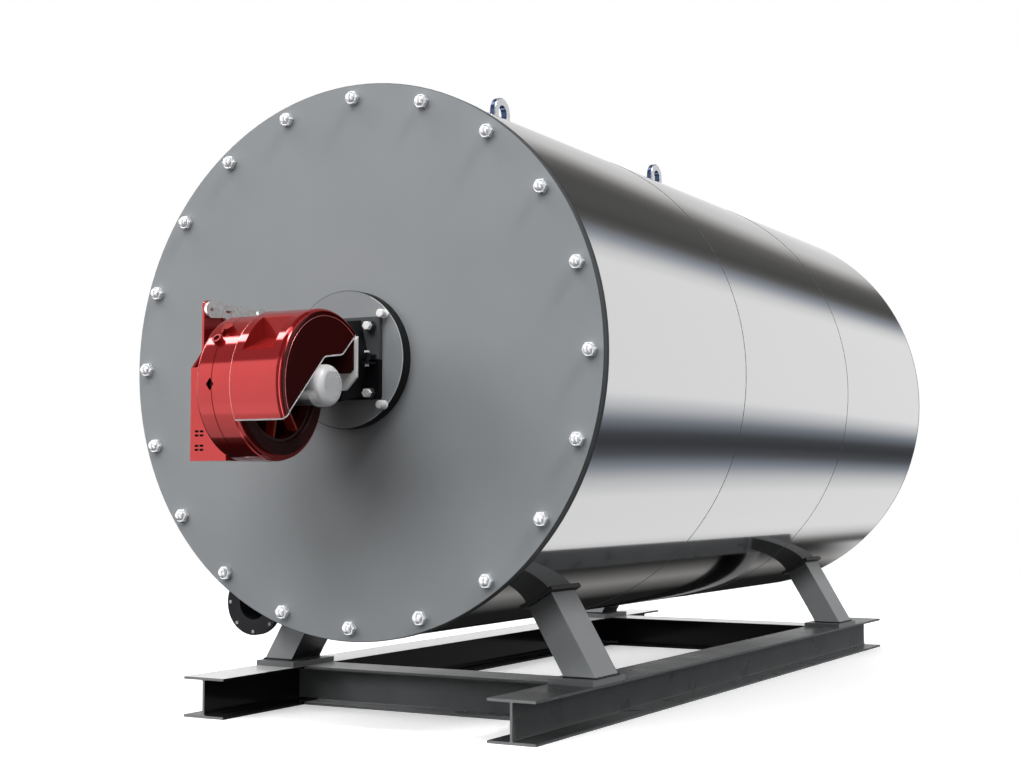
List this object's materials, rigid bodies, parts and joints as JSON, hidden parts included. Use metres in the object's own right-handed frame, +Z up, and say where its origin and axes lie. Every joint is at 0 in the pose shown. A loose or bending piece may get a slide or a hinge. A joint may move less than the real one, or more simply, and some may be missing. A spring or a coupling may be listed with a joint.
{
  "type": "industrial boiler",
  "caption": "Horizontal oil-heating boiler: stainless-clad drum with a bolted front plate and forced-draught burner, on legs and an H-beam skid.",
  "frame": {"origin": "on the floor, under the middle of the whole boiler's bounding box", "axes": "+X to the right when facing the front plate, +Y along the drum from the burner to the rear, +Z up"},
  "size_m": [1.8998, 4.531, 2.3665],
  "materials": {
    "plate_paint": "satin light grey paint",
    "stainless": "bright rolled stainless sheet",
    "skid_paint": "satin dark grey paint",
    "polished_steel": "polished",
    "black_paint": "semi-matt black paint",
    "burner_red": "gloss red paint",
    "pale_trim": "matt",
    "bare_alloy": "satin cast and machined"
  },
  "bodies": {
    "root": {"beam_left": "skid_paint", "beam_right": "skid_paint", "boiler_shell": "skid_paint", "burner_flange": "plate_paint", "burner_hinge": "black_paint", "burner_hood": "burner_red", "burner_mounting_disc": "plate_paint", "burner_neck": "black_paint", "cladding_front": "stainless", "cladding_middle": "stainless", "cladding_rear": "stainless", "control_box": "burner_red", "cross_beam_front": "skid_paint", "cross_beam_rear": "skid_paint", "damper_boss": "burner_red", "damper_lever": "burner_red", "fan_housing": "burner_red", "flue_flange": "skid_paint", "flue_spigot": "skid_paint", "foot_plate_front_left": "skid_paint", "foot_plate_front_right": "skid_paint", "foot_plate_rear_left": "skid_paint", "foot_plate_rear_right": "skid_paint", "front_plate": "plate_paint", "hood_baffle": "burner_red", "hood_rear_panel": "pale_trim", "hood_trim": "pale_trim", "intake_ring": "burner_red", "leg_front_left": "skid_paint", "leg_front_right": "skid_paint", "leg_rear_left": "skid_paint", "leg_rear_right": "skid_paint", "lifting_lug_front": "polished_steel", "lifting_lug_rear": "polished_steel", "linkage_bracket": "bare_alloy", "motor_body": "bare_alloy", "motor_cowl": "bare_alloy", "motor_spider": "burner_red", "oil_flange_front": "black_paint", "oil_flange_rear": "black_paint", "oil_pipe_front": "black_paint", "oil_pipe_rear": "black_paint", "rear_plate": "plate_paint", "shell_flange": "plate_paint", "side_plate": "burner_red", "sight_port": "burner_red", "wrapper_pad_front_left": "skid_paint", "wrapper_pad_front_right": "skid_paint", "wrapper_pad_rear_left": "skid_paint", "wrapper_pad_rear_right": "skid_paint"}
  },
  "joints": []
}
